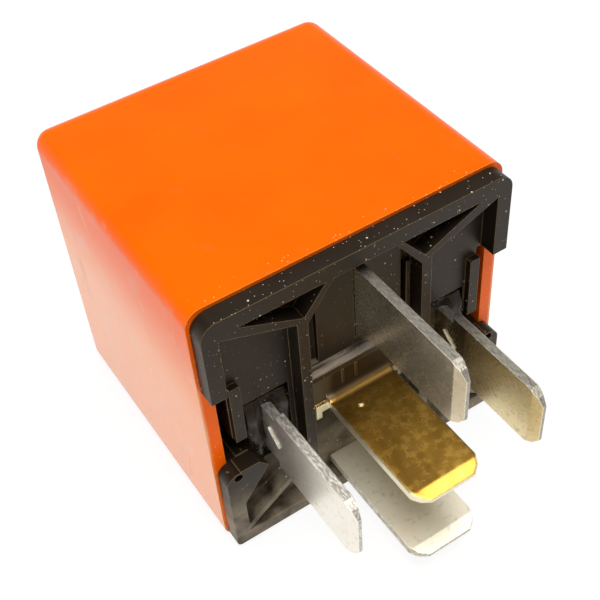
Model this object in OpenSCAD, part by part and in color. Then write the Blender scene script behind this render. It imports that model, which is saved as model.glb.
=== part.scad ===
// A five-blade changeover relay for vehicles, lying on one flat side of its cover.
// X runs across the relay, Y from the blades into the cover and Z up. Inside the modules, depths
// along Y are counted from the cover's open end: minus is towards the blades, plus is inside.

/* [Cover] */
// Width of the cover
cover_w = 28; // [27:0.1:31]
// Height of the cover as it lies
cover_h = 27.4; // [27:0.1:30]
// Length of the cover from its open end to its closed end
cover_l = 26.2; // [25.5:0.1:32]
// Wall of the cover
cover_wall = 1.2; // [0.9:0.05:1.4]
// Radius of the cover's outer edges
cover_r = 1.45; // [0.8:0.05:2]

/* [Base] */
// How far the base's rim stands out of the cover
rim_proud = 1.55; // [1:0.05:2.2]
// Step from the cover's outside in to the rim
rim_inset = 0.3; // [0.1:0.05:0.5]
// Width of the rim's bar above the blades
bar_w = 1.45; // [1:0.05:1.8]
// Width of the rim's legs beside the blades
leg_w = 1.35; // [1:0.05:1.6]
// Length of the two upper legs
upper_leg = 7.9; // [6:0.1:8.4]
// Length of the two lower legs
lower_leg = 8.4; // [7.4:0.1:9]
// Thickness of the base's floor
floor_t = 2.4; // [1.8:0.1:3]
// Thickness of the ribs under the floor
rib_t = 0.9; // [0.6:0.05:1.2]
// Width of the channel between the two ribs beside the middle blades
channel_w = 10.4; // [9.8:0.1:11]
// Height of the raised block round blade 30
block_h = 0.5; // [0.3:0.05:0.9]

/* [Blades] */
// Width of a blade
blade_w = 6.3; // [5.8:0.05:6.5]
// Thickness of a blade
blade_t = 0.8; // [0.6:0.05:0.9]
// Reach of a blade past the cover's open end
blade_reach = 12.5; // [11:0.1:14]
// Reach of blade 30 past the cover's open end
reach_30 = 13.2; // [12:0.1:15]
// Distance between the middles of blades 85 and 86
coil_pitch = 17.3; // [17:0.1:17.6]
// Gap between the rim's bar and blade 30
bar_gap = 1; // [0.8:0.05:1.4]
// Gap between the rim's sill and blade 87
sill_gap = 0.6; // [0.4:0.05:0.8]
// Drop of blades 85 and 86 below the centre line
drop_coil = 2.1; // [1.8:0.1:2.4]
// Drop of blade 87a below the centre line
drop_87a = 3.4; // [3.2:0.1:3.7]

/* [Magnet] */
// Radius of the core
core_r = 2.5; // [2:0.1:2.8]
// Length of the winding
winding_l = 10; // [8:0.1:10.4]
// Thickness of the bobbin's flanges
flange_t = 1; // [0.8:0.05:1.2]
// Height of the flanges past the winding
flange_edge = 0.9; // [0.7:0.05:1.2]
// Thickness of the yoke's plate
yoke_t = 1.5; // [1.2:0.05:1.6]
// How far the yoke is wider than the winding on each side
yoke_over = 0.2; // [0:0.05:0.3]
// Thickness of the armature
armature_t = 1.4; // [1.1:0.05:1.6]
// Air gap between armature and pole at rest
air_gap = 0.85; // [0.7:0.05:0.95]
// Turn of the armature from rest to pulled in, degrees
armature_turn = 3.8; // [2:0.1:3.8]

/* [Contacts] */
// Radius of the contacts' heads
contact_r = 1.4; // [1:0.05:1.5]
// Thickness of a contact's head
head_t = 0.7; // [0.5:0.05:0.8]
// Thickness of the contact spring
leaf_t = 0.2; // [0.15:0.05:0.3]
// Wire radius of the return spring
wire_r = 0.15; // [0.1:0.01:0.18]
// Mean radius of the return spring
coil_r = 0.75; // [0.6:0.05:0.85]
// Turns of the return spring
spring_turns = 9; // [6:1:11]
// Radius of the braid
braid_r = 0.6; // [0.4:0.05:0.7]

/* [Hidden] */

$fn = 48;
eps = 0.01;           // overcut of a cutting solid
fit = 0.05;           // clearance of a piece in its slot
rivet_fit = 0.03;     // clearance of a rivet in its hole
snug = 0.02;          // clearance between pieces that touch all round

// Frame: the bounding box's bottom centre is the origin
mouth_y = (reach_30 - cover_l) / 2;
mid_z = cover_h / 2;

// Cover
wall_x = cover_w / 2 - cover_wall;
cavity_r = 0.6;

// Base: the outline of its rim and of the plug inside the cover
rim_x = cover_w / 2 - rim_inset;
rim_low = rim_inset;
rim_high = cover_h - rim_inset;
bay_x = rim_x - leg_w;
bar_z = rim_high - bar_w;
sill_z = rim_low + 1.3;
notch_low = rim_low + lower_leg;
notch_high = rim_high - upper_leg;
channel_x = channel_w / 2;
rib_x = channel_x + rib_t;
plug_gap = 0.1;
latch_x = wall_x - 0.95;      // outer side of the latch finger
latch_t = 0.95;
latch_low = notch_low + 3.6;
latch_front = 0.6;             // how far the finger stands under the floor
barb_proud = 0.25;            // how far the barb reaches past the cavity's wall
barb_y = floor_t + 0.9;
block_x = 3.9;
fin_x = channel_x - 0.75;     // thin fin in the pocket beside the block
fin_t = 0.25;
pool_x = 2.1;                 // from a coil blade's middle to its resin pool's inner side
pool_out = latch_x - latch_t - 0.15;
pool_depth = 1.8;
resin_low = 1.1;              // how far the resin lies below the floor's face
pad_h = 1.2;

// Blades
z_30 = bar_z - bar_gap - blade_w / 2;
z_coil = mid_z - drop_coil;
z_87a = mid_z - drop_87a;
z_87 = sill_z + sill_gap + blade_t / 2;
root_low_30 = z_30 - blade_w / 2 - 1.45;
flag_30 = 2.9;                // how far blade 30's wider root reaches out of the base
foot_l_30 = 6.6;              // length of blade 30's foot on the yoke
neck_w = blade_w - 1.1;
coin_l = 1.1;                 // length of the coined slopes at a blade's tip
coin_d = 0.25;                // their depth on each face
web_x = 4.65;                 // half the width of blade 87a's upright web
strip_x = 2.3;                // half the width of the strip from that web
block_low = root_low_30 - 0.5;
ledge_low = block_low - 2.2;
ledge_reach = 1.3;            // how far the sloped ledge under the block stands out
web_top = ledge_low - fit;

// Magnet
foot_y = floor_t + pad_h;
bobbin_y = foot_y + yoke_t;
bobbin_l = winding_l + 2 * flange_t;
tube_r = core_r + 0.8;
head_y = bobbin_y + bobbin_l;
pole_t = 1;
pole_r = core_r + 1.5;
armature_y = head_y + pole_t + air_gap;
hinge_gap = 0.05;
post_gap = 1.05;              // from a coil blade's post to the bobbin
rivet_x = 3;                  // middle of the yoke's rivets and of the braid
braid_hump = 1;               // how far the braid rises on its way to the armature
cavity_gap = 0.98;            // from the braid to the cover
yoke_top = cover_h - cover_wall - cavity_gap - braid_hump - 2 * braid_r - snug - blade_t;
yoke_z = yoke_top - yoke_t;
tail_r = core_r - 0.5;
tail_half = 1.8;
tail_top = yoke_top + 2.2;

// Contacts
contact_z = z_87 + blade_t / 2 + 0.9;
armature_low = contact_z + contact_r + 0.3;
leaf_y = armature_y + armature_t;
leaf_half = 2.2;
shank_r = contact_r / 2;
tail_head_r = contact_r - 0.3;
tail_head_t = 0.4;
contact_gap = 0.04;
no_face = armature_y + (armature_t - head_t) * cos(armature_turn)
    - (yoke_z - contact_z + contact_r) * sin(armature_turn) - contact_gap;
nc_face = leaf_y + leaf_t + head_t + contact_gap;
arm_low = z_87 - blade_t / 2;
arm_high = contact_z + contact_r + 0.1;
flange_low = arm_high + 0.6;
flange_half = (yoke_z - 0.3 - flange_low) / 2;
coil_z = flange_low + flange_half;
flange_x = coil_pitch / 2 - blade_t / 2 - post_gap;
winding_r = min(flange_half, flange_x) - flange_edge;
yoke_w = 2 * (winding_r + yoke_over);
armature_half = yoke_w / 2 - 1;
rivet_rise = 2.6;             // of the armature's rivets from the coil's axis
strap_in = 2.2;               // inner side of the upright straps
strap_out = 6.4;              // outer side of the upright straps
strap_z = z_87 + blade_t / 2 + 0.3;

// Return spring, from a lug on the yoke to the armature's tail
spring_z = yoke_top + 1.2;
lug_y = foot_y + foot_l_30 + 0.8;
lug_t = 0.8;
hook_gap = 0.3;

module relay() {
    translate([0, mouth_y, 0]) children();
}

// A flat shape drawn in X and Z, given a depth from y1 to y2
module across(y1, y2) {
    translate([0, y2, 0]) rotate([90, 0, 0]) linear_extrude(y2 - y1) children();
}

module block(x1, x2, y1, y2, z1, z2) {
    translate([x1, y1, z1]) cube([x2 - x1, y2 - y1, z2 - z1]);
}

module rod_y(r, y1, y2, z, x = 0) {
    translate([x, y2, z]) rotate([90, 0, 0]) cylinder(h = y2 - y1, r = r);
}

module both_sides() {
    children();
    mirror([1, 0, 0]) children();
}

module rounded(x1, x2, z1, z2, r) {
    translate([x1 + r, z1]) square([x2 - x1 - 2 * r, z2 - z1]);
    translate([x1, z1 + r]) square([x2 - x1, z2 - z1 - 2 * r]);
    for (x = [x1 + r, x2 - r], z = [z1 + r, z2 - r]) translate([x, z]) circle(r);
}

// ---- Cover ----

module cover_blank() {
    x = cover_w / 2 - cover_r;
    across(0, cover_l - cover_r) rounded(-cover_w / 2, cover_w / 2, 0, cover_h, cover_r);
    block(-x, x, cover_l - 2 * cover_r, cover_l, cover_r, cover_h - cover_r);
    translate([0, cover_l - cover_r, 0]) {
        for (z = [cover_r, cover_h - cover_r]) {
            translate([-x, 0, z]) rotate([0, 90, 0]) cylinder(h = 2 * x, r = cover_r);
            for (side = [-1, 1]) translate([side * x, 0, z]) sphere(cover_r);
        }
        for (side = [-1, 1])
            translate([side * x, 0, cover_r]) cylinder(h = cover_h - 2 * cover_r, r = cover_r);
    }
}

module cover() {
    color("darkorange") relay() difference() {
        cover_blank();
        across(-eps, cover_l - cover_wall)
            rounded(-wall_x, wall_x, cover_wall, cover_h - cover_wall, cavity_r);
        both_sides() latch_pocket();
    }
}

module latch_pocket() {
    block(wall_x - eps, wall_x + barb_proud + 0.2, barb_y - 0.2, barb_y + 1.9,
        latch_low + 0.3, notch_high - 0.3);
}

// ---- Base ----

// Outline of the rim, open at the notch on each side
module rim_outline() {
    difference() {
        union() {
            rounded(-rim_x, rim_x, rim_low, rim_high, cover_r);
            rounded(-rim_x, rim_x, rim_low, notch_low, 0.5);
        }
        both_sides() translate([bay_x, notch_low]) square([leg_w + 1, notch_high - notch_low]);
    }
}

// The rib beside the channel, which leans out to the bar above blade 30, and the ridge over the bay
module upper_ribs() {
    ridge_drop = 2.8;
    ridge_t = 0.65;
    vee_half = 3.4;
    polygon([
        [channel_x, sill_z - eps], [rib_x, sill_z - eps], [rib_x, bar_z - ridge_drop],
        [bay_x + eps, bar_z - 0.4], [bay_x + eps, bar_z + eps], [bay_x - 1.5, bar_z + eps],
        [rib_x - ridge_t, bar_z - ridge_drop + 0.35], [vee_half, bar_z + eps],
        [vee_half - 0.6, bar_z + eps], [channel_x, bar_z - ridge_drop - 0.4]
    ]);
}

// The gusset at the head of a lower leg and the thin rib across the corner below it
module lower_ribs() {
    gusset = 2.5;
    brace_t = 0.6;
    brace_rise = 4.8;
    polygon([
        [bay_x + eps, notch_low - 3.1], [bay_x - gusset, notch_low + 0.3],
        [bay_x - gusset + 0.8, notch_low + 1.2], [bay_x + eps, notch_low + 1.2]
    ]);
    polygon([
        [bay_x + eps, sill_z + 0.2], [bay_x + eps, sill_z + 0.2 + brace_t],
        [rib_x - eps, sill_z + brace_rise + brace_t], [rib_x - eps, sill_z + brace_rise]
    ]);
}

module leg_head() {
    boss_r = 1.1;
    translate([rim_x - boss_r, notch_low]) circle(boss_r);
}

module rib_pattern() {
    difference() {
        rim_outline();
        translate([-bay_x, sill_z]) square([2 * bay_x, bar_z - sill_z]);
    }
    both_sides() {
        upper_ribs();
        lower_ribs();
        leg_head();
    }
}

module latch_finger() {
    block(latch_x - latch_t, latch_x, -latch_front, barb_y + 2, latch_low, notch_high - 0.7);
    translate([0, 0, latch_low + 0.5]) linear_extrude(notch_high - latch_low - 1.5)
        polygon([
            [latch_x - eps, barb_y - 0.1], [wall_x + barb_proud, barb_y],
            [wall_x + barb_proud, barb_y + 0.5], [latch_x - eps, barb_y + 2]
        ]);
}

// Raised block round blade 30, the ledge under it that slopes to the front, and a fin
module blade_block() {
    block(-block_x, block_x, -block_h, eps, block_low, bar_z + eps);
    translate([-channel_x - eps, 0, 0]) rotate([90, 0, 90]) linear_extrude(2 * (channel_x + eps)) polygon([
        [eps, ledge_low], [-block_h, ledge_low], [-ledge_reach, ledge_low + 1],
        [-ledge_reach, block_low - 0.67], [-block_h, block_low - 0.2], [-block_h, block_low + eps],
        [eps, block_low + eps]
    ]);
    block(fin_x, fin_x + fin_t, -block_h, 1, block_low + 0.6, bar_z - 3.4);
}

// The two narrow pockets beside the fin
module block_recesses() {
    for (x = [block_x + 0.1, fin_x + fin_t]) block(x, x + 0.45, -eps, 1, block_low + 0.6, bar_z - 3.4);
}

module latch_window() {
    block(latch_x + fit, wall_x + 1, -eps, floor_t + eps, notch_low + 1.1, notch_high);
    block(latch_x - 1.6, wall_x + 1, -eps, floor_t + eps, notch_low + 1.3, latch_low);
}

module resin_pool(low) {
    block(coil_pitch / 2 - pool_x, pool_out, low, pool_depth,
        z_coil - blade_w / 2 - 0.6, z_coil + blade_w / 2 + 0.7);
}

// Slots that the blades pass through, with a clearance all round
module blade_slots() {
    t = blade_t / 2 + fit;
    across(-block_h - eps, floor_t + eps) {
        translate([-t, root_low_30 - fit]) square([2 * t, z_30 + blade_w / 2 - root_low_30 + 2 * fit]);
        both_sides() translate([coil_pitch / 2 - t, z_coil - neck_w / 2 - fit])
            square([2 * t, neck_w + 2 * fit]);
        translate([-blade_w / 2 - fit, z_87 - t]) square([blade_w + 2 * fit, 2 * t]);
        translate([-strip_x - fit, web_top - blade_t - fit]) square([2 * (strip_x + fit), 2 * t]);
    }
    block(-web_x - fit, web_x + fit, -eps, blade_t, z_87a - blade_t / 2 - fit, web_top + fit);
}

module base() {
    color("dimgray") relay() {
        difference() {
            union() {
                across(-rim_proud, 0) rib_pattern();
                across(-eps, floor_t) rounded(-wall_x + plug_gap, wall_x - plug_gap, cover_wall + plug_gap,
                    cover_h - cover_wall - plug_gap, cavity_r);
                blade_block();
                both_sides() block(strip_x + 1.1, yoke_w / 2 - 0.3, floor_t - eps, foot_y,
                    coil_z - 1.3, yoke_z - 1.2);
            }
            block_recesses();
            blade_slots();
            both_sides() {
                latch_window();
                resin_pool(-2 * eps);
                rod_y(0.4, -rim_proud - eps, -eps, notch_low + 0.6, rim_x - 1.1);
            }
        }
        both_sides() latch_finger();
    }
}

module sealing_resin() {
    color("saddlebrown") relay() both_sides() difference() {
        resin_pool(resin_low);
        block(coil_pitch / 2 - blade_t / 2, coil_pitch / 2 + blade_t / 2, 0, floor_t,
            z_coil - neck_w / 2, z_coil + neck_w / 2);
    }
}

// ---- Blades ----

// A blade along -Y from root_y to its tip, flat in X and Y, with coined tip and cut corners
module blade(reach, root_y) {
    w = blade_w / 2;
    t = blade_t / 2;
    intersection() {
        translate([0, 0, -t]) linear_extrude(blade_t) polygon([
            [-w, root_y], [-w, 1.35 - reach], [-w + 0.4, 0.55 - reach], [-w + 1.1, -reach],
            [w - 1.1, -reach], [w - 0.4, 0.55 - reach], [w, 1.35 - reach], [w, root_y]
        ]);
        rotate([90, 0, 90]) translate([0, 0, -w]) linear_extrude(blade_w) polygon([
            [root_y, -t], [coin_l - reach, -t], [-reach, -t + coin_d],
            [-reach, t - coin_d], [coin_l - reach, t], [root_y, t]
        ]);
    }
}

// A short lanced bar raised from a blade's face near its root
module lance() {
    translate([0.2, -1.5, blade_t / 2 - eps]) rotate([0, 0, 52]) block(-0.95, 0.95, -0.15, 0.15, 0, 0.16);
}

module terminal_30() {
    low = z_30 - blade_w / 2;
    high = z_30 + blade_w / 2;
    color("silver") relay() difference() {
        union() {
            translate([0, 0, z_30]) rotate([0, -90, 0]) blade(reach_30, 0);
            translate([-blade_t / 2, 0, 0]) rotate([90, 0, 90]) linear_extrude(blade_t) polygon([
                [-flag_30, low], [1.1 - flag_30, low - 0.4], [-block_h, root_low_30],
                [floor_t, root_low_30],
                [floor_t, low], [floor_t + blade_t, low], [floor_t + blade_t, yoke_top],
                [foot_y - 0.4 + foot_l_30, yoke_top], [foot_y - 0.4 + foot_l_30, high], [-flag_30, high]
            ]);
            block(0, yoke_w / 2 - 1.3, foot_y - 0.4, foot_y - 0.4 + foot_l_30,
                yoke_top, yoke_top + blade_t);
        }
        rivet_places() cylinder(h = 2, r = 0.7 + rivet_fit);
    }
}

module rivet_places() {
    for (y = [1.2, 3.6]) translate([rivet_x, foot_y + y, yoke_top - 0.1]) children();
}

module coil_blade(side) {
    x = side * coil_pitch / 2;
    color("silver") relay() translate([x, 0, z_coil]) {
        rotate([0, -90, 0]) {
            blade(blade_reach, -1.9);
            lance();
        }
        block(-blade_t / 2, blade_t / 2, -2, floor_t + blade_t, -neck_w / 2, neck_w / 2);
        block(-blade_t / 2, blade_t / 2, floor_t, foot_y + 4, -0.8, 0.8);
    }
}

module terminal_85() {
    coil_blade(-1);
}

module terminal_86() {
    coil_blade(1);
}

module terminal_87() {
    t = blade_t / 2;
    arm_y = no_face - head_t - blade_t;
    color("silver") relay() difference() {
        union() {
            translate([0, 0, z_87]) blade(blade_reach, floor_t + eps);
            block(-strap_out, blade_w / 2, floor_t, foot_y + 0.8, z_87 - t, z_87 + t);
            block(-strap_out, -strap_in, foot_y, arm_y + blade_t, z_87 - t, z_87 + t);
            block(-strap_out, contact_r + 0.2, arm_y, arm_y + blade_t, z_87 - t, arm_high);
        }
        rod_y(shank_r + rivet_fit, arm_y - 1, arm_y + 2, contact_z);
    }
}

// The rounded inner side of the bend from blade 87a up to its web
module root_bend() {
    r = 0.9;
    low = z_87a + blade_t / 2;
    difference() {
        block(-blade_w / 2, blade_w / 2, -r, eps, low - eps, low + r);
        translate([-blade_w, -r, low + r]) rotate([0, 90, 0]) cylinder(h = 2 * blade_w, r = r);
    }
}

module terminal_87a() {
    t = blade_t / 2;
    arm_y = nc_face + head_t;
    strap_x = strap_in + 1.2;
    shoulder_x = blade_w / 2 + 1.25;
    color("goldenrod") relay() difference() {
        union() {
            translate([0, 0, z_87a]) {
                blade(blade_reach, eps);
                translate([-1.15, -2, t - eps]) cylinder(h = 0.14, r = 0.22);
            }
            block(-shoulder_x, shoulder_x, -0.35, eps, z_87a - t, z_87a + t);
            both_sides() block(shoulder_x - 0.55, shoulder_x, -0.35, 0, z_87a - t - 0.7, z_87a);
            root_bend();
            for (x = [-1.6, -0.3]) block(x, x + 0.22, -0.12, eps, web_top - 2.4, web_top - 0.8);
            block(-web_x, web_x, 0, blade_t, z_87a - t, web_top);
            block(-strip_x, strip_x, blade_t - eps, floor_t + blade_t, web_top - blade_t, web_top);
            block(-strip_x, strip_x, floor_t, floor_t + blade_t, strap_z, web_top);
            block(-strip_x, strap_out, floor_t, floor_t + blade_t, strap_z, strap_z + 3);
            block(strap_x, strap_out, floor_t, arm_y + blade_t, strap_z, strap_z + blade_t);
            block(-contact_r - 0.2, strap_out, arm_y, arm_y + blade_t, arm_low + 0.3, arm_high);
        }
        rod_y(shank_r + rivet_fit, arm_y - 1, arm_y + 2, contact_z);
    }
}

// ---- Magnet ----

module bobbin() {
    color("ivory") relay() difference() {
        union() {
            rod_y(tube_r, bobbin_y, head_y, coil_z);
            for (y = [bobbin_y, head_y - flange_t]) across(y, y + flange_t)
                rounded(-flange_x, flange_x, coil_z - flange_half, coil_z + flange_half, 1);
        }
        rod_y(core_r + rivet_fit, bobbin_y - 1, head_y + 1, coil_z);
    }
}

module winding() {
    color("chocolate") relay() difference() {
        rod_y(winding_r, bobbin_y + flange_t + snug, head_y - flange_t - snug, coil_z);
        rod_y(tube_r + snug, bobbin_y, head_y, coil_z);
    }
}

module core() {
    color("lightgray") relay() {
        rod_y(tail_r, foot_y, bobbin_y + eps, coil_z);
        rod_y(core_r, bobbin_y, head_y + eps, coil_z);
        rod_y(pole_r, head_y, head_y + pole_t, coil_z);
    }
}

module yoke() {
    x = yoke_w / 2;
    leg_y = armature_y - hinge_gap;
    color("gray") relay() difference() {
        union() {
            block(-x, x, foot_y, bobbin_y, coil_z - tail_r - 1.8, yoke_top);
            block(-x, x, foot_y, leg_y, yoke_z, yoke_top);
            both_sides() block(armature_half + 0.2, x, leg_y - eps, leg_y + armature_t + 0.1,
                yoke_z, yoke_top);
            block(-1.1, 1.1, lug_y, lug_y + lug_t, yoke_top - eps, spring_z + 0.9);
        }
        rod_y(tail_r + rivet_fit, foot_y - 1, bobbin_y + 1, coil_z);
        rod_y(wire_r * 2, lug_y - 1, lug_y + 2, spring_z);
        rivet_places() translate([0, 0, -3]) cylinder(h = 4, r = 0.7 + rivet_fit);
    }
}

module yoke_rivets() {
    color("silver") relay() rivet_places() {
        translate([0, 0, 0.1 - yoke_t]) cylinder(h = yoke_t + blade_t + eps, r = 0.7);
        translate([0, 0, 0.1 + blade_t]) cylinder(h = 0.5, r = 1.2);
    }
}

module rivet_marks() {
    for (z = [coil_z - rivet_rise, coil_z + rivet_rise]) translate([0, 0, z]) children();
}

module armature() {
    color("silver") relay() difference() {
        union() {
            block(-armature_half, armature_half, armature_y, leaf_y, armature_low, yoke_z + 1.2);
            block(-tail_half, tail_half, armature_y, leaf_y, yoke_z, tail_top);
        }
        rivet_marks() rod_y(0.6 + rivet_fit, armature_y - 1, leaf_y + 1, 0);
        rod_y(wire_r * 2, armature_y - 1, leaf_y + 1, spring_z);
    }
}

module armature_rivets() {
    color("silver") relay() rivet_marks() {
        rod_y(0.6, armature_y, leaf_y + leaf_t + eps, 0);
        rod_y(1.1, leaf_y + leaf_t, leaf_y + leaf_t + 0.4, 0);
    }
}

// ---- Contacts ----

module contact_spring() {
    color("darkgoldenrod") relay() difference() {
        block(-leaf_half, leaf_half, leaf_y, leaf_y + leaf_t,
            contact_z - contact_r - 0.2, coil_z + rivet_rise + 2);
        rivet_marks() rod_y(0.6 + rivet_fit, leaf_y - 1, leaf_y + 1, 0);
        rod_y(shank_r + rivet_fit, leaf_y - 1, leaf_y + 1, contact_z);
    }
}

module moving_contact() {
    color("lightgray") relay() {
        rod_y(contact_r, leaf_y - head_t, leaf_y, contact_z);
        rod_y(shank_r, leaf_y - eps, leaf_y + leaf_t + eps, contact_z);
        rod_y(contact_r, leaf_y + leaf_t, leaf_y + leaf_t + head_t, contact_z);
    }
}

// A riveted contact whose face is at face_y; side is +1 if its shank runs towards +Y
module fixed_contact(face_y, side) {
    translate([0, face_y, contact_z]) rotate([-90 * side, 0, 0]) {
        cylinder(h = head_t, r = contact_r);
        translate([0, 0, head_t - eps]) cylinder(h = blade_t + 2 * eps, r = shank_r);
        translate([0, 0, head_t + blade_t]) cylinder(h = tail_head_t, r = tail_head_r);
    }
}

module contact_no() {
    color("lightgray") relay() fixed_contact(no_face, -1);
}

module contact_nc() {
    color("lightgray") relay() fixed_contact(nc_face, 1);
}

// ---- Swept wires ----

function unit(v) = v / norm(v);
function tangent(path, i) = unit(path[min(i + 1, len(path) - 1)] - path[max(i - 1, 0)]);
// A side direction at each point of the path, carried along it without twist
function square_to(v, t) = unit(v - (v * t) * t);
function sides_along(path, start) =
    [for (i = 0, u = square_to(start, tangent(path, 0)); i < len(path);
        i = i + 1, u = i < len(path) ? square_to(u, tangent(path, i)) : u) u];
function ring(centre, t, u, r, n) = let (v = cross(t, u))
    [for (k = [0 : n - 1]) centre + r * (cos(k * 360 / n) * u + sin(k * 360 / n) * v)];

// A round wire of radius r and n sides along a path; start is a direction across its first step
module wire(path, r, n, start) {
    last = len(path) - 1;
    across_path = sides_along(path, start);
    points = [for (i = [0 : last]) each ring(path[i], tangent(path, i), across_path[i], r, n)];
    faces = concat(
        [for (k = [1 : n - 2]) [0, k, k + 1]],
        [for (i = [0 : n : (last - 1) * n], k = [0 : n - 1])
            let (a = i + k, b = i + (k + 1) % n) [a, a + n, b]],
        [for (i = [0 : n : (last - 1) * n], k = [0 : n - 1])
            let (a = i + k, b = i + (k + 1) % n) [b, a + n, b + n]],
        [for (k = [1 : n - 2]) [last * n, last * n + k + 1, last * n + k]]
    );
    polyhedron(points, faces, convexity = 6);
}

module return_spring() {
    first = lug_y + lug_t + hook_gap + 0.4;
    last = armature_y - hook_gap - 0.4;
    steps = 12;
    turns = [for (i = [0 : spring_turns * steps]) let (a = 360 * i / steps)
        [coil_r * cos(a), first + (last - first) * i / (spring_turns * steps), spring_z + coil_r * sin(a)]];
    near_end = [[0, lug_y - hook_gap, spring_z - 0.5], [0, lug_y - hook_gap, spring_z - 0.1],
        [0, lug_y - hook_gap + 0.12, spring_z], [0, first - 0.5, spring_z],
        [coil_r * 0.7, first - 0.2, spring_z]];
    far_end = [[coil_r * 0.7, last + 0.2, spring_z], [0, last + 0.5, spring_z],
        [0, leaf_y + hook_gap - 0.12, spring_z], [0, leaf_y + hook_gap, spring_z - 0.1],
        [0, leaf_y + hook_gap, spring_z - 0.5]];
    color("gray") relay() wire(concat(near_end, turns, far_end), wire_r, 6, [1, 0, 0]);
}

module braid() {
    z_start = yoke_top + blade_t + braid_r + snug;
    y_end = leaf_y + leaf_t + braid_r + snug;
    foot_end = foot_y + foot_l_30;
    route = [
        [rivet_x, foot_end - 1.5, z_start], [rivet_x, foot_end - 0.1, z_start],
        [rivet_x, foot_end + 2.9, z_start + 0.4], [rivet_x, leaf_y - 3.75, z_start + braid_hump - 0.1],
        [rivet_x, leaf_y - 1, z_start + braid_hump], [rivet_x - 0.1, leaf_y + 0.6, z_start + 0.6],
        [2.7, y_end + 0.6, z_start - 1], [2.4, y_end + 0.7, z_start - 3.4], [2, y_end + 0.4, z_start - 6],
        [1.6, y_end + 0.1, coil_z + rivet_rise + 1.8], [1.4, y_end, coil_z + rivet_rise + 0.8]
    ];
    color("peru") relay() wire(route, braid_r, 8, [1, 0, 0]);
}

// The coil's wire end and its soldered joint on the post of a coil blade
module coil_lead(side) {
    joint_y = bobbin_y + flange_t + 0.5;
    post_x = coil_pitch / 2;
    start_x = sqrt(pow(winding_r, 2) - pow(coil_z - z_coil, 2)) + snug;
    color("peru") relay() mirror([side < 0 ? 1 : 0, 0, 0]) difference() {
        union() {
            translate([start_x, joint_y, z_coil]) rotate([0, 90, 0])
                cylinder(h = post_x - start_x, r = 0.15);
            rod_y(1.15, joint_y - 0.4, joint_y + 0.4, z_coil, post_x);
        }
        block(post_x - blade_t / 2 - snug, post_x + blade_t / 2 + snug, joint_y - 1, joint_y + 1,
            z_coil - 0.8 - snug, z_coil + 0.8 + snug);
    }
}

module coil_lead_85() {
    coil_lead(-1);
}

module coil_lead_86() {
    coil_lead(1);
}

cover();
base();
sealing_resin();
terminal_30();
terminal_85();
terminal_86();
terminal_87();
terminal_87a();
bobbin();
winding();
core();
yoke();
yoke_rivets();
armature();
armature_rivets();
contact_spring();
moving_contact();
contact_no();
contact_nc();
return_spring();
braid();
coil_lead_85();
coil_lead_86();
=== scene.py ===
# %% [markdown]
# # A plug-in relay, dressed for the camera
# The solids of the relay come from its construction file and stay as they are. This lesson gives
# them their finishes, adds the poured resin that has no exact shape, and lights the whole on a
# pale table. Every length is in metres, and every place is read from the solids.

# %% Load the relay
import bpy
import math
from mathutils import Matrix, Vector


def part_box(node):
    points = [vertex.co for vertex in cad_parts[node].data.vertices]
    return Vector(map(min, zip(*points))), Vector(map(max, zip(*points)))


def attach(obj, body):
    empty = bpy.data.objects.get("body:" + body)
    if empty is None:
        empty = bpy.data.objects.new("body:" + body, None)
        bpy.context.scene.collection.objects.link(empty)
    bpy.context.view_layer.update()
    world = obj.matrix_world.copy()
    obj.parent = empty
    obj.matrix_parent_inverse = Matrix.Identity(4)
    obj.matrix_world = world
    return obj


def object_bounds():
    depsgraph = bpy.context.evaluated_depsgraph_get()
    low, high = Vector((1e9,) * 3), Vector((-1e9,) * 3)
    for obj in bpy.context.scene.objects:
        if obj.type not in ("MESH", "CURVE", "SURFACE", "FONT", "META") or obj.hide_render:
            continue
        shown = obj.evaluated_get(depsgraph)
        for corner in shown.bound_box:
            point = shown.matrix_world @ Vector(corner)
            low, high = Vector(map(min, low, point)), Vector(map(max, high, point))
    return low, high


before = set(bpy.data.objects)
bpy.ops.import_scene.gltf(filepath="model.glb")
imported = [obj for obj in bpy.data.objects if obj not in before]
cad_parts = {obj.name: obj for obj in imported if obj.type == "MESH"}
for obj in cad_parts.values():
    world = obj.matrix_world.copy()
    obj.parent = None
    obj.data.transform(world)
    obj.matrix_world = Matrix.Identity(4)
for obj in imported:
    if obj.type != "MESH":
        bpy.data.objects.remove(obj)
cad_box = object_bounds()
print("the relay measures", [round(1000 * (b - a), 2) for a, b in zip(*cad_box)], "mm")

# %% [markdown]
# ## Places to measure from
# Two corners of each solid are enough to place everything else. The mouth is the plane where the
# orange cover ends: the blades lie on its minus-Y side, and the mechanism on its plus-Y side.

# %% Boxes of the solids
MM = 0.001
cover_low, cover_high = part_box("cover")
mouth = cover_low.y
print("mouth at y =", round(mouth / MM, 2), "mm, half width", round(cover_high.x / MM, 2), "mm")

# %% [markdown]
# ## The camera
# The relay is small and is seen from close by, so its far edges look clearly shorter than its near
# ones. A lens of about 65 mm, held 10 cm away and looking down by 46 degrees, gives that. The
# turns are written as for a tripod: round the upright axis, then down, then a little roll.

# %% Set the camera
def tripod(place, heading, dip, roll):
    """A camera at place that looks along heading, counted from +Y, dips below level and rolls."""
    data = bpy.data.cameras.new("camera")
    camera = bpy.data.objects.new("camera", data)
    bpy.context.scene.collection.objects.link(camera)
    turn = Matrix.Rotation(math.radians(heading), 4, "Z")
    lean = Matrix.Rotation(math.radians(90 - dip), 4, "X")
    tilt = Matrix.Rotation(math.radians(roll), 4, "Z")
    camera.matrix_world = Matrix.Translation(place) @ turn @ lean @ tilt
    return camera


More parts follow.
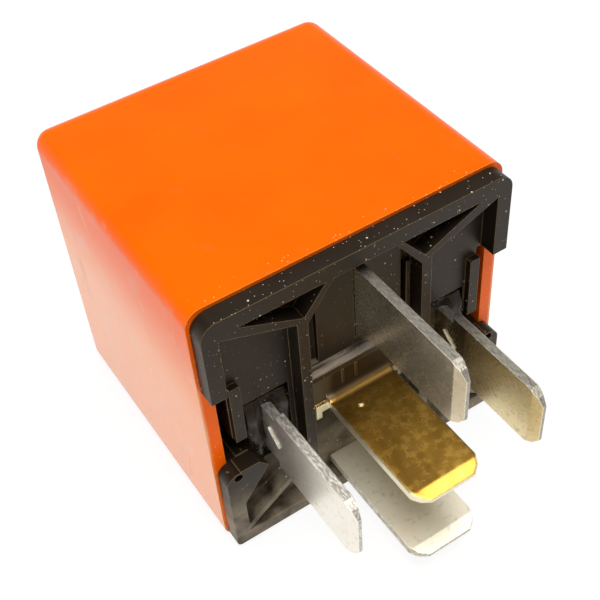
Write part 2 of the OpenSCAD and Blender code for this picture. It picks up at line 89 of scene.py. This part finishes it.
place = Vector((-31.985, mouth / MM - 47.701, 80.149)) * MM
camera = tripod(place, heading=-29.018, dip=45.793, roll=-5.511)
camera.data.lens = 65.296
camera.data.shift_x = 0.0149
camera.data.shift_y = -0.0036
camera.data.clip_start = MM
bpy.context.scene.camera = camera
print("camera at", [round(v / MM, 1) for v in camera.location], "mm")

# %% [markdown]
# ## The table
# The relay lies on a flat sheet.

# %% Lay the table
def add_stage(name, half):
    bpy.ops.object.select_all(action="DESELECT")
    bpy.ops.mesh.primitive_plane_add(size=2 * half, location=(0, 0, cad_box[0].z))
    table = bpy.context.object
    table.name = name
    bpy.ops.object.transform_apply(location=True)
    return table


table = add_stage("table", half=2.5)

# %% [markdown]
# ## Shader sums in plain Python
# Every finish below mixes masks, and wiring Math nodes by hand would hide what they do. A small
# class wraps a socket and gives it plus, minus and times, so a mask is written as a sum. A second
# one holds the tree and adds all other nodes.

# %% A tree of nodes, written as sums
class Flow:
    """A value on its way through the nodes. Sums and products of flows add Math nodes."""

    def __init__(self, finish, socket):
        self.finish, self.socket = finish, socket

    def __add__(self, other):
        return self.finish.math("ADD", self, other)

    def __sub__(self, other):
        return self.finish.math("SUBTRACT", self, other)

    def __rsub__(self, other):
        return self.finish.math("SUBTRACT", other, self)

    def __mul__(self, other):
        return self.finish.math("MULTIPLY", self, other)

    __radd__ = __add__
    __rmul__ = __mul__


class Finish:
    """The nodes of one finish, with the words that this relay's finishes need."""

    def __init__(self, tree):
        self.tree = tree

    def node(self, kind, settings=None, inputs=None, out=0):
        """Adds a node: first its settings, then the values or flows of its sockets."""
        made = self.tree.nodes.new(kind)
        for word, value in (settings or {}).items():
            setattr(made, word, value)
        for socket, value in (inputs or {}).items():
            self.feed(made.inputs[socket], value)
        return Flow(self, made.outputs[out])

    def feed(self, socket, value):
        if isinstance(value, Flow):
            self.tree.links.new(value.socket, socket)
        else:
            socket.default_value = value

    def math(self, operation, first, second=0.0):
        return self.node("ShaderNodeMath", {"operation": operation}, {0: first, 1: second})

    def colour(self, share, first, second):
        """A colour between first and second: all first at share 0, all second at share 1."""
        ends = {0: share, 6: first, 7: second}
        return self.node("ShaderNodeMix", {"data_type": "RGBA"}, ends, out=2)

    def step(self, value, low, high, start=0.0, end=1.0):
        """start where value is under low, end where it is over high, and smooth between."""
        return self.node("ShaderNodeMapRange", {"interpolation_type": "SMOOTHSTEP"},
            {"Value": value, "From Min": low, "From Max": high, "To Min": start, "To Max": end})


print("node helpers ready")

# %% [markdown]
# ## Light Path keeps the table white
# Seen straight on, or mirrored in metal, the table is mostly its own even white, like a lit sheet
# of paper. A part of it still answers to the lamps, and that part keeps the relay's soft shadow.
# More light would whiten the table too, but it would bleach the relay.

# %% Paint the table
def paint_table(table):
    material = bpy.data.materials.new("table paper")
    material.use_nodes = True
    finish = Finish(material.node_tree)
    finish.tree.nodes.clear()
    seen = finish.node("ShaderNodeLightPath", out="Is Camera Ray")
    mirrored = finish.node("ShaderNodeLightPath", out="Is Glossy Ray")
    lit = finish.node("ShaderNodeBsdfDiffuse", inputs={"Color": (0.9, 0.9, 0.9, 1)})
    glow = finish.node("ShaderNodeEmission", inputs={"Color": (1, 1, 1, 1), "Strength": 1.06})
    own_white = 0.8 * finish.math("MAXIMUM", seen, mirrored)
    both = finish.node("ShaderNodeMixShader", inputs={0: own_white, 1: lit, 2: glow})
    finish.feed(finish.tree.nodes.new("ShaderNodeOutputMaterial").inputs["Surface"], both)
    table.data.materials.append(material)


paint_table(table)
print("table:", [s.name for s in table.material_slots])

# %% [markdown]
# ## The light
# One round lamp, nearly half a metre wide, hangs overhead and a little to the front: it makes soft
# light with no hard shadow, and slopes that tip towards the camera mirror it. A weak one lifts the
# left side. The room is a plain white to the camera. In mirrored light it is white around the
# horizon and dim higher up, so that level faces keep their full colour.

# %% Light the room
def light_room(horizon, overhead, fill):
    """White to the camera, from horizon to overhead when mirrored; fill is the light it casts."""
    world = bpy.data.worlds.new("room")
    bpy.context.scene.world = world
    world.use_nodes = True
    finish = Finish(world.node_tree)
    seen = finish.node("ShaderNodeLightPath", out="Is Camera Ray")
    mirrored = finish.node("ShaderNodeLightPath", out="Is Glossy Ray")
    direction = finish.node("ShaderNodeTexCoord", out="Generated")
    height = finish.node("ShaderNodeSeparateXYZ", inputs={0: direction}, out="Z")
    reflected = mirrored * finish.step(height, 0.15, 0.6, horizon, overhead)
    strength = finish.math("MAXIMUM", seen, finish.math("MAXIMUM", reflected, fill))
    background = world.node_tree.nodes["Background"]
    background.inputs["Color"].default_value = (1, 1, 1, 1)
    finish.feed(background.inputs["Strength"], strength)


def add_lamp(name, place, size, watts):
    data = bpy.data.lights.new(name, "AREA")
    data.shape, data.size, data.energy = "DISK", size, watts
    lamp = bpy.data.objects.new(name, data)
    bpy.context.scene.collection.objects.link(lamp)
    aim = place.to_track_quat("Z", "Y").to_matrix().to_4x4()
    lamp.matrix_world = Matrix.Translation(place) @ aim
    return lamp


light_room(horizon=1.0, overhead=0.06, fill=0.18)
add_lamp("soft lamp", Vector((0.0, -0.045, 0.45)), size=0.44, watts=2.55)
add_lamp("side lamp", Vector((-0.35, -0.1, 0.15)), size=0.3, watts=0.3)
bpy.context.scene.view_settings.view_transform = "Standard"

# %% [markdown]
# ## Surface textures
# All textures are solid ones that fill space and are read at the surface, in the relay's own
# coordinates. Nothing has to be unwrapped, and a grain keeps its size in millimetres on every
# solid. Each word below is one texture that several finishes share.

# %% Textures
class Skin(Finish):
    """A finish for a solid: textures around one Principled surface."""

    def __init__(self, name, **constants):
        self.material = bpy.data.materials.new(name)
        self.material.use_nodes = True
        super().__init__(self.material.node_tree)
        self.surface = self.tree.nodes["Principled BSDF"]
        self.spot = self.node("ShaderNodeTexCoord", out="Object")
        for socket, value in constants.items():
            self.surface.inputs[socket.replace("_", " ")].default_value = value

    def show(self, **flows):
        for socket, value in flows.items():
            self.feed(self.surface.inputs[socket.replace("_", " ")], value)
        return self.material

    def stretched(self, x, y, z):
        """The place on the relay with each direction scaled, for streaks and turnings."""
        return self.node("ShaderNodeMapping", inputs={"Vector": self.spot, "Scale": (x, y, z)})

    def looking(self, axis):
        """How far the surface looks along an axis of the relay: 1 along it, -1 against it."""
        normal = self.node("ShaderNodeTexCoord", out="Normal")
        return self.node("ShaderNodeSeparateXYZ", inputs={0: normal}, out=axis)

    def facing(self, axis):
        """How far the surface looks along an axis or against it, from 0 to 1."""
        return self.math("ABSOLUTE", self.looking(axis))

    def along(self, axis):
        """The place on the relay along one axis, in metres."""
        return self.node("ShaderNodeSeparateXYZ", inputs={0: self.spot}, out=axis)

    def cloud(self, size, detail=2.0, at=None):
        """Soft patches of about size metres, from 0 to 1."""
        inputs = {"Vector": at or self.spot, "Scale": 1 / size, "Detail": detail}
        return self.node("ShaderNodeTexNoise", inputs=inputs)

    def specks(self, spacing, radius, share):
        """1 inside round specks: one to a cell of the spacing, in only a share of the cells."""
        cell = self.node("ShaderNodeTexVoronoi", inputs={"Vector": self.spot, "Scale": 1 / spacing})
        draw = Flow(self, cell.socket.node.outputs["Color"])
        lot = self.node("ShaderNodeSeparateColor", inputs={0: draw})
        near = self.step(cell, 0.6 * radius / spacing, radius / spacing, 1.0, 0.0)
        return near * self.math("LESS_THAN", lot, share)

    def edges(self, radius):
        """1 on a sharp edge, fading to 0 at radius metres from it."""
        rounded = self.node("ShaderNodeBevel", {"samples": 8}, {"Radius": radius})
        flat = self.node("ShaderNodeNewGeometry", out="Normal")
        both = {0: rounded, 1: flat}
        same = self.node("ShaderNodeVectorMath", {"operation": "DOT_PRODUCT"}, both, out="Value")
        return self.step(same, 0.75, 0.995, 1.0, 0.0)

    def relief(self, height, depth, soften=0.0):
        """A normal from a height, where 1 stands for depth metres; soften rounds the edges."""
        inputs = {"Height": height, "Distance": depth, "Strength": 1.0}
        if soften:
            inputs["Normal"] = self.node("ShaderNodeBevel", {"samples": 6}, {"Radius": soften})
        return self.node("ShaderNodeBump", inputs=inputs)


def dress(material, *nodes):
    """Puts one finish on the named solids."""
    for name in nodes:
        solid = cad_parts[name]
        solid.data.materials.clear()
        solid.data.materials.append(material)
    print(material.name, "on", ", ".join(nodes))


print("textures ready")

# %% [markdown]
# ## The orange cover
# The cover is moulded in glass-filled nylon, dyed through. Its skin has a faint orange peel from
# the mould, a satin gloss, a painted highlight on its thin edges and a little dust at its open end.
# The long sides are handled most: they have dull rub marks, a painted pale sheen that grows lower
# down, and a gloss that mirrors the table at a flat angle. One Principled surface does this: masks
# by place find the sides, and a coat gives the second gloss only there, where a paler colour alone
# would look wrong from the side.

# %% Orange plastic
def orange_plastic():
    skin = Skin("orange plastic", IOR=1.5, Specular_IOR_Level=0.3,
        Specular_Tint=(1, 0.3, 0.03, 1), Coat_IOR=1.9, Coat_Roughness=0.2)
    patches = skin.cloud(7 * MM, detail=3.0)
    outward = skin.math("ABSOLUTE", skin.along("X"))
    side = skin.step(outward, cover_high.x - 0.3 * MM, cover_high.x - 0.05 * MM)
    # The long sides, more so lower down: this mask sets the real coat gloss and also a painted pale
    # sheen.
    sheen_paint_and_coat = side * skin.step(skin.along("Z"), 26 * MM, 14 * MM)
    streaks = skin.cloud(1.4 * MM, detail=5.0, at=skin.stretched(1, 0.6, 0.25))
    rubs = skin.step(streaks, 0.6, 0.72) * (0.03 + 0.97 * side)
    smears = side * skin.step(skin.cloud(3.5 * MM, detail=4.0), 0.5, 0.75)
    open_end = skin.step(skin.along("Y"), mouth + 0.4 * MM, mouth + 1.6 * MM, 1.0, 0.0)
    dust = skin.specks(spacing=0.3 * MM, radius=0.06 * MM, share=0.35) * open_end
    peel = skin.cloud(0.35 * MM, detail=2.0)
    tone = skin.colour(patches, (0.92, 0.1, 0.0003, 1), (0.97, 0.148, 0.0005, 1))
    # Painted sheen: the sides are mixed towards pale yellow, standing in for the table's
    # reflection.
    tone = skin.colour(0.25 * sheen_paint_and_coat, tone, (0.93, 0.78, 0.22, 1))
    tone = skin.colour(0.2 * smears, tone, (0.62, 0.5, 0.42, 1))
    tone = skin.colour(0.25 * rubs, tone, (0.85, 0.7, 0.58, 1))
    # Painted highlight: a bright orange line along every edge.
    tone = skin.colour(0.8 * skin.edges(0.12 * MM), tone, (1.0, 0.45, 0.06, 1))
    tone = skin.colour(0.6 * dust, tone, (0.95, 0.7, 0.45, 1))
    return skin.show(
        Base_Color=tone,
        Roughness=0.3 + 0.06 * patches + 0.1 * rubs,
        Coat_Weight=0.58 * sheen_paint_and_coat * (1.0 - 0.5 * rubs),
        Normal=skin.relief(peel, 0.003 * MM, soften=0.08 * MM))


dress(orange_plastic(), "cover")

# %% [markdown]
# ## The black base
# The base is a stiff black plastic with a warm cast. It is full of ribs, so its finish is kept
# quiet: a fine grain, rounded edges with a painted line of highlight, and pale dust in specks of
# two sizes, thickest on the rim. A painted pale grey reflection of the table lies on the lower
# legs, and the ledge under the block has a painted pale, streaky highlight. Masks by height find
# the legs and the ledge, so nothing has to be painted by hand.

# %% Black plastic
def black_plastic():
    skin = Skin("black plastic", IOR=1.5, Specular_IOR_Level=0.3, Specular_Tint=(1, 0.8, 0.6, 1))
    patches = skin.cloud(3 * MM, detail=4.0)
    grain = skin.cloud(0.12 * MM, detail=3.0)
    height = skin.along("Z")
    # Painted reflection of the table: the lower parts turn pale grey-brown in patches, more so near
    # the table.
    painted_table_reflection = skin.step(height, 9 * MM, 3 * MM) * skin.step(skin.cloud(2 * MM, detail=4.0), 0.2, 0.7)
    ledge = skin.step(height, 15 * MM, 15.3 * MM)
    ledge = ledge * skin.step(height, 16.4 * MM, 16.6 * MM, 1.0, 0.0)
    # Painted highlight: the upward faces of the ledge under the block get pale streaks.
    ledge_streaks = skin.cloud(0.5 * MM, detail=4.0, at=skin.stretched(0.12, 1, 1))
    ledge_highlight = ledge * skin.step(skin.looking("Z"), 0.3, 0.6) * skin.step(ledge_streaks, 0.3, 0.65)
    rim = skin.step(height, 24.6 * MM, 25.4 * MM)
    crowd = skin.step(skin.cloud(4.5 * MM, detail=2.0), 0.4, 0.62)
    coarse = skin.specks(spacing=0.6 * MM, radius=0.1 * MM, share=0.3)
    fine = skin.specks(spacing=0.27 * MM, radius=0.045 * MM, share=0.35)
    dust = skin.math("MAXIMUM", coarse, fine) * skin.math("MAXIMUM", 0.15 + 0.85 * crowd, rim)
    tone = skin.colour(patches, (0.007, 0.0048, 0.0028, 1), (0.016, 0.011, 0.0065, 1))
    tone = skin.colour(painted_table_reflection, tone, (0.27, 0.22, 0.155, 1))
    tone = skin.colour(0.9 * ledge_highlight, tone, (0.3, 0.25, 0.2, 1))
    # Painted highlight: a thin warm gold line along the edges.
    tone = skin.colour(0.6 * skin.edges(0.1 * MM), tone, (0.4, 0.26, 0.11, 1))
    tone = skin.colour(0.9 * dust, tone, (0.7, 0.6, 0.46, 1))
    return skin.show(
        Base_Color=tone,
        Roughness=0.36 + 0.14 * patches + 0.2 * dust + 0.1 * painted_table_reflection,
        Normal=skin.relief(grain + 2.0 * dust, 0.01 * MM, soften=0.12 * MM))


dress(black_plastic(), "base")

# %% [markdown]
# ## Tinned blades
# The outer blades are brass with a thin coat of tin. They were blanked from strip: the broad
# faces are rolled smooth, with long faint scratches from plugging in, and the sheared edges are
# torn and rougher, between two thin lines of painted highlight. Tin is a metal, so its colour is in
# the reflection, apart from a dull film that some blades have. One function makes all four, and the
# way that the surface looks tells it a broad face from an edge.

# %% Tin
def tinned_brass(name, dark, light, rough, metal, flat_axis, edge):
    """Tin between two tones, with a dull film where metal is under 1; flat_axis is the way that
    the blade's broad faces look, and edge the tone of its sheared edges."""
    skin = Skin(name, Metallic=metal)
    patches = skin.cloud(2.5 * MM, detail=4.0)
    scratches = skin.cloud(0.12 * MM, detail=3.0, at=skin.stretched(1, 0.04, 1))
    marks = skin.step(skin.cloud(0.45 * MM, detail=6.0), 0.54, 0.74)
    sheared = skin.step(skin.facing(flat_axis), 0.6, 0.8, 1.0, 0.0)
    slopes = skin.step(skin.facing(flat_axis), 0.9, 0.98, 1.0, 0.0)
    torn = skin.cloud(0.14 * MM, detail=5.0, at=skin.stretched(1, 0.3, 1))
    tears = skin.step(torn, 0.35, 0.65)
    tone = skin.colour(patches, dark, light)
    tone = skin.colour(0.35 * marks, tone, (0.4, 0.3, 0.17, 1))
    tone = skin.colour(0.5 * slopes, tone, (0.6, 0.5, 0.3, 1))
    torn_tone = skin.colour(0.3 + 0.7 * tears, (0.2, 0.18, 0.15, 1), edge)
    tone = skin.colour(sheared, tone, torn_tone)
    # Painted highlight: a thin pale line along every edge.
    tone = skin.colour(0.9 * skin.edges(0.12 * MM), tone, (0.95, 0.9, 0.8, 1))
    height = 0.6 * scratches + 0.3 * marks + 4.0 * sheared * tears
    return skin.show(
        Base_Color=tone,
        Roughness=rough + 0.06 * patches + 0.06 * scratches + 0.08 * marks + 0.12 * sheared,
        Normal=skin.relief(height, 0.003 * MM, soften=0.1 * MM))


print("tin ready")

# %% [markdown]
# ## Four blades, four ages
# No two blades are alike: they were plated in one bath but plugged into different sockets. Blade
# 86 has yellowed, and blade 87, which lies flat, has the dullest film.

# %% Blade finishes
blade_looks = {
    "30": dict(dark=(0.74, 0.64, 0.46, 1), light=(0.92, 0.84, 0.67, 1), rough=0.2, metal=0.97,
        flat_axis="X", edge=(0.46, 0.42, 0.35, 1)),
    "85": dict(dark=(0.86, 0.8, 0.68, 1), light=(0.98, 0.94, 0.84, 1), rough=0.24, metal=0.88,
        flat_axis="X", edge=(0.78, 0.73, 0.64, 1)),
    "86": dict(dark=(0.8, 0.62, 0.31, 1), light=(0.96, 0.82, 0.52, 1), rough=0.2, metal=1.0,
        flat_axis="X", edge=(0.48, 0.45, 0.37, 1)),
    "87": dict(dark=(0.86, 0.79, 0.62, 1), light=(0.98, 0.93, 0.8, 1), rough=0.42, metal=0.62,
        flat_axis="Z", edge=(0.8, 0.74, 0.6, 1)),
}
for blade, look in blade_looks.items():
    dress(tinned_brass("tin on blade " + blade, **look), "terminal_" + blade)

# %% [markdown]
# ## The bare brass blade
# The middle blade was left without tin. Its faces that look up have a brown tarnish; its rounded
# edges, its tip and its faces that do not look up get a painted pale yellow highlight, and its bend
# and upright web get a painted shade, nearly black. The masks go by place and by the way that the
# surface looks.

# %% Brass
def bare_brass():
    skin = Skin("bare brass", Metallic=0.92)
    patches = skin.cloud(1.6 * MM, detail=5.0)
    spots = skin.step(skin.cloud(0.7 * MM, detail=3.0), 0.35, 0.9)
    pits = skin.specks(spacing=0.7 * MM, radius=0.07 * MM, share=0.3)
    upper = skin.step(skin.looking("Z"), 0.2, 0.98)
    # Painted shade: the upright web in its recess and the bend near the root are darkened.
    shaded_web = skin.step(skin.along("Y"), mouth - 0.35 * MM, mouth - 0.02 * MM)
    shaded_web = shaded_web * skin.step(skin.facing("Y"), 0.5, 0.9)
    shaded_bend = skin.step(skin.along("Y"), mouth - 1.6 * MM, mouth - 0.8 * MM)
    shaded_bend = shaded_bend * skin.step(skin.along("X"), -3 * MM, -2.3 * MM)
    tone = skin.colour(patches, (0.42, 0.2, 0.028, 1), (0.8, 0.46, 0.075, 1))
    tone = skin.colour(0.35 * spots, tone, (0.9, 0.62, 0.17, 1))
    # Painted highlight: faces that do not look up are painted pale yellow.
    tone = skin.colour(upper, (0.9, 0.82, 0.6, 1), tone)
    # Painted highlight on the rounded edges and the tip.
    tone = skin.colour(0.9 * skin.edges(0.32 * MM), tone, (0.95, 0.86, 0.54, 1))
    # Painted shade: the bend and the web are darkened nearly to black.
    tone = skin.colour(0.75 * shaded_bend, tone, (0.12, 0.065, 0.018, 1))
    tone = skin.colour(0.9 * shaded_web, tone, (0.05, 0.03, 0.012, 1))
    tarnish = 0.1 * patches + 0.08 * spots + 0.15 * shaded_bend + 0.2 * shaded_web
    return skin.show(
        Base_Color=tone,
        Roughness=0.2 + tarnish + 0.14 * (1.0 - upper),
        Normal=skin.relief(patches - 0.4 * pits, 0.004 * MM, soften=0.3 * MM))


dress(bare_brass(), "terminal_87a")

# %% [markdown]
# ## Shaping by hand, in code
# Blender's own operators act on whatever is selected, as they do by hand. These three words start
# a block, pick faces by their place and normal, and fix the modifiers into the mesh.

# %% Tools for shaping a piece
def start_piece(name, low, high):
    """A block from corner low to corner high, ready to be shaped."""
    bpy.ops.object.select_all(action="DESELECT")
    bpy.ops.mesh.primitive_cube_add(size=1, location=(low + high) / 2, scale=high - low)
    piece = bpy.context.object
    piece.name = name
    bpy.ops.object.transform_apply(location=True, scale=True)
    return piece


def pick(piece, wanted):
    """Selects the faces for which wanted(centre, normal) holds, in edit mode."""
    bpy.ops.object.mode_set(mode="OBJECT")
    for part in (piece.data.vertices, piece.data.edges):
        part.foreach_set("select", [False] * len(part))
    for face in piece.data.polygons:
        face.select = wanted(face.center, face.normal)
    bpy.ops.object.mode_set(mode="EDIT")
    bpy.ops.mesh.select_mode(type="FACE")


def apply_modifiers(piece):
    """Fixes the modifiers into the mesh, in their order."""
    bpy.ops.object.mode_set(mode="OBJECT")
    for modifier in list(piece.modifiers):
        bpy.ops.object.modifier_apply(modifier=modifier.name)


print("shaping tools ready")

# %% [markdown]
# ## Poured resin
# A drop of resin seals each coil blade in its pool. It sets glossy and lumpy, and creeps up the
# blade. No exact solid has that shape. It could be sculpted, but a block that is cut fine, raised
# round the blade and shaken by a cloud texture gives the same lumps from a few numbers.

# %% Pour the resin
def creep_up(piece, middle, creep):
    """Raises the front on both sides of the blade by creep metres, and drags its surroundings."""
    for side in (-1, 1):
        def beside_blade(at, normal):
            out = side * (at.x - middle.x) / MM
            return normal.y < -0.9 and 0.9 < out < 1.7 and abs(at.z - middle.z) < 2.6 * MM

        pick(piece, beside_blade)
        bpy.ops.transform.translate(value=(0, -creep, 0), use_proportional_edit=True,
            proportional_edit_falloff="SMOOTH", proportional_size=0.8 * MM)


def shake_surface(piece, lump, depth):
    """Lumps of a given size and depth, in metres, smoothed once."""
    lumps = bpy.data.textures.new(piece.name + " lumps", "CLOUDS")
    lumps.noise_scale, lumps.noise_depth = lump, 1
    shake = piece.modifiers.new("shake", "DISPLACE")
    shake.texture, shake.strength, shake.mid_level = lumps, depth, 0.5
    shake.texture_coords = "LOCAL"
    shake.direction = "Y"
    smooth = piece.modifiers.new("smooth", "SUBSURF")
    smooth.levels = smooth.render_levels = 1
    apply_modifiers(piece)


def pour_resin(name, blade, half_width=1.95, half_height=3.5, front=0.1, back=1.35):
    """Resin round a blade, from front to back behind the mouth; sizes in millimetres."""
    low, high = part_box(blade)
    middle = Vector(((low.x + high.x) / 2, mouth, (low.z + high.z) / 2))
    half = Vector((half_width, 0, half_height)) * MM
    near, far = Vector((0, front * MM, 0)), Vector((0, back * MM, 0))
    piece = start_piece(name, middle - half + near, middle + half + far)
    bpy.ops.object.mode_set(mode="EDIT")
    bpy.ops.mesh.subdivide(number_cuts=15)
    creep_up(piece, middle, creep=0.55 * MM)
    bpy.ops.object.mode_set(mode="OBJECT")
    shake_surface(piece, lump=1.2 * MM, depth=0.7 * MM)
    bpy.ops.object.shade_smooth()
    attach(piece, "relay")
    print(name, len(piece.data.polygons), "faces")
    return piece


collars = [
    pour_resin("resin_collar_85", "terminal_85"),
    pour_resin("resin_collar_86", "terminal_86"),
]

# %% [markdown]
# ## The resin's finish
# The resin is black, glossy and slightly wavy, with a few pale grains caught in it. The poured
# collars and the exact solid in the pool share one finish, so that they look like one drop.

# %% Resin finish
def cast_resin():
    skin = Skin("cast resin", IOR=1.5, Specular_IOR_Level=0.22, Specular_Tint=(1, 0.85, 0.7, 1))
    patches = skin.cloud(0.8 * MM, detail=3.0)
    chips = skin.specks(spacing=0.3 * MM, radius=0.05 * MM, share=0.3)
    tone = skin.colour(patches, (0.004, 0.0032, 0.0024, 1), (0.018, 0.012, 0.008, 1))
    tone = skin.colour(0.9 * chips, tone, (0.6, 0.5, 0.4, 1))
    return skin.show(
        Base_Color=tone,
        Roughness=0.2 + 0.12 * patches,
        Normal=skin.relief(patches + 0.5 * chips, 0.03 * MM))


resin = cast_resin()
dress(resin, "sealing_resin")
for collar in collars:
    collar.data.materials.append(resin)
print(resin.name, "on", ", ".join(collar.name for collar in collars))

# %% [markdown]
# ## The finishes inside
# The cover hides the mechanism, but each solid still gets its own finish, because the relay may
# be opened up. Wire turns and weave are too fine to model: a height made of waves gives them, and
# the same waves paint shade into their hollows.

# %% Bobbin, wire and braid
def bobbin_plastic():
    skin = Skin("bobbin plastic", IOR=1.5)
    patches = skin.cloud(2 * MM, detail=3.0)
    grain = skin.cloud(0.15 * MM, detail=2.0)
    tone = skin.colour(patches, (0.62, 0.58, 0.46, 1), (0.72, 0.68, 0.56, 1))
    return skin.show(
        Base_Color=tone,
        Roughness=0.4 + 0.1 * grain,
        Normal=skin.relief(grain, 0.006 * MM, soften=0.08 * MM))


def wound_wire(wire=0.16 * MM):
    """Copper wire under clear varnish, turn beside turn along Y."""
    skin = Skin("wound wire", Metallic=0.7, Coat_Weight=0.5, Coat_Roughness=0.15)
    turn = skin.math("ABSOLUTE", skin.math("SINE", skin.along("Y") * (math.pi / wire)))
    patches = skin.cloud(1.5 * MM, detail=3.0)
    # Painted shade: the wire is dark in the grooves between turns and light on their crests.
    tone = skin.colour(turn, (0.09, 0.02, 0.006, 1), (0.6, 0.2, 0.07, 1))
    tone = skin.colour(0.4 * patches, tone, (0.3, 0.08, 0.02, 1))
    return skin.show(
        Base_Color=tone,
        Roughness=0.3 + 0.1 * patches,
        Normal=skin.relief(turn, 0.06 * MM))


def braided_copper():
    """Strands that cross: the larger of two sets of waves is the one on top."""
    skin = Skin("braided copper", Metallic=1.0)
    one = skin.node("ShaderNodeTexWave",
        inputs={"Vector": skin.stretched(1, 1, 1), "Scale": 1.1 / MM, "Distortion": 1.0})
    other = skin.node("ShaderNodeTexWave", {"bands_direction": "DIAGONAL"},
        {"Vector": skin.stretched(1, -1, 1), "Scale": 0.9 / MM})
    weave = skin.math("MAXIMUM", one, other)
    # Painted shade: the strands underneath are darker, the ones on top lighter.
    tone = skin.colour(weave, (0.2, 0.06, 0.025, 1), (0.78, 0.36, 0.2, 1))
    return skin.show(
        Base_Color=tone,
        Roughness=0.45 - 0.15 * weave,
        Normal=skin.relief(weave, 0.05 * MM))


dress(bobbin_plastic(), "bobbin")
dress(wound_wire(), "winding")
dress(braided_copper(), "braid", "coil_lead_85", "coil_lead_86")

# %% [markdown]
# ## Iron, springs and contacts
# The rest of the mechanism is metal that is not meant to be seen: zinc-plated iron, spring strip
# and wire, and silver contacts. They differ only in tone, gloss and grain, so one function with a
# row of values for each is enough.

# %% Iron, springs and contacts
def plain_metal(name, dark, light, roughness, grain, depth):
    """A metal whose tone drifts between dark and light, with a fine grain of the given size."""
    skin = Skin(name, Metallic=1.0)
    patches = skin.cloud(2 * MM, detail=4.0)
    rolling = skin.cloud(grain, detail=3.0, at=skin.stretched(1, 0.3, 1))
    tone = skin.colour(patches, dark, light)
    # Painted highlight: the edges are lighter.
    tone = skin.colour(0.4 * skin.edges(0.1 * MM), tone, light)
    return skin.show(
        Base_Color=tone,
        Roughness=roughness + 0.1 * patches + 0.08 * rolling,
        Normal=skin.relief(rolling, depth, soften=0.05 * MM))


iron = plain_metal("galvanised iron", dark=(0.42, 0.42, 0.41, 1), light=(0.62, 0.62, 0.6, 1),
    roughness=0.32, grain=0.15 * MM, depth=0.008 * MM)
rivet = plain_metal("rivet steel", dark=(0.45, 0.43, 0.4, 1), light=(0.66, 0.64, 0.6, 1),
    roughness=0.28, grain=0.1 * MM, depth=0.005 * MM)
spring = plain_metal("spring steel", dark=(0.3, 0.3, 0.31, 1), light=(0.5, 0.5, 0.5, 1),
    roughness=0.25, grain=0.06 * MM, depth=0.004 * MM)
bronze = plain_metal("spring bronze", dark=(0.5, 0.25, 0.1, 1), light=(0.72, 0.42, 0.2, 1),
    roughness=0.26, grain=0.1 * MM, depth=0.004 * MM)
silver = plain_metal("contact silver", dark=(0.72, 0.71, 0.68, 1), light=(0.86, 0.85, 0.82, 1),
    roughness=0.22, grain=0.08 * MM, depth=0.004 * MM)
dress(iron, "core", "yoke", "armature")
dress(rivet, "yoke_rivets", "armature_rivets")
dress(spring, "return_spring")
dress(bronze, "contact_spring")
dress(silver, "moving_contact", "contact_no", "contact_nc")
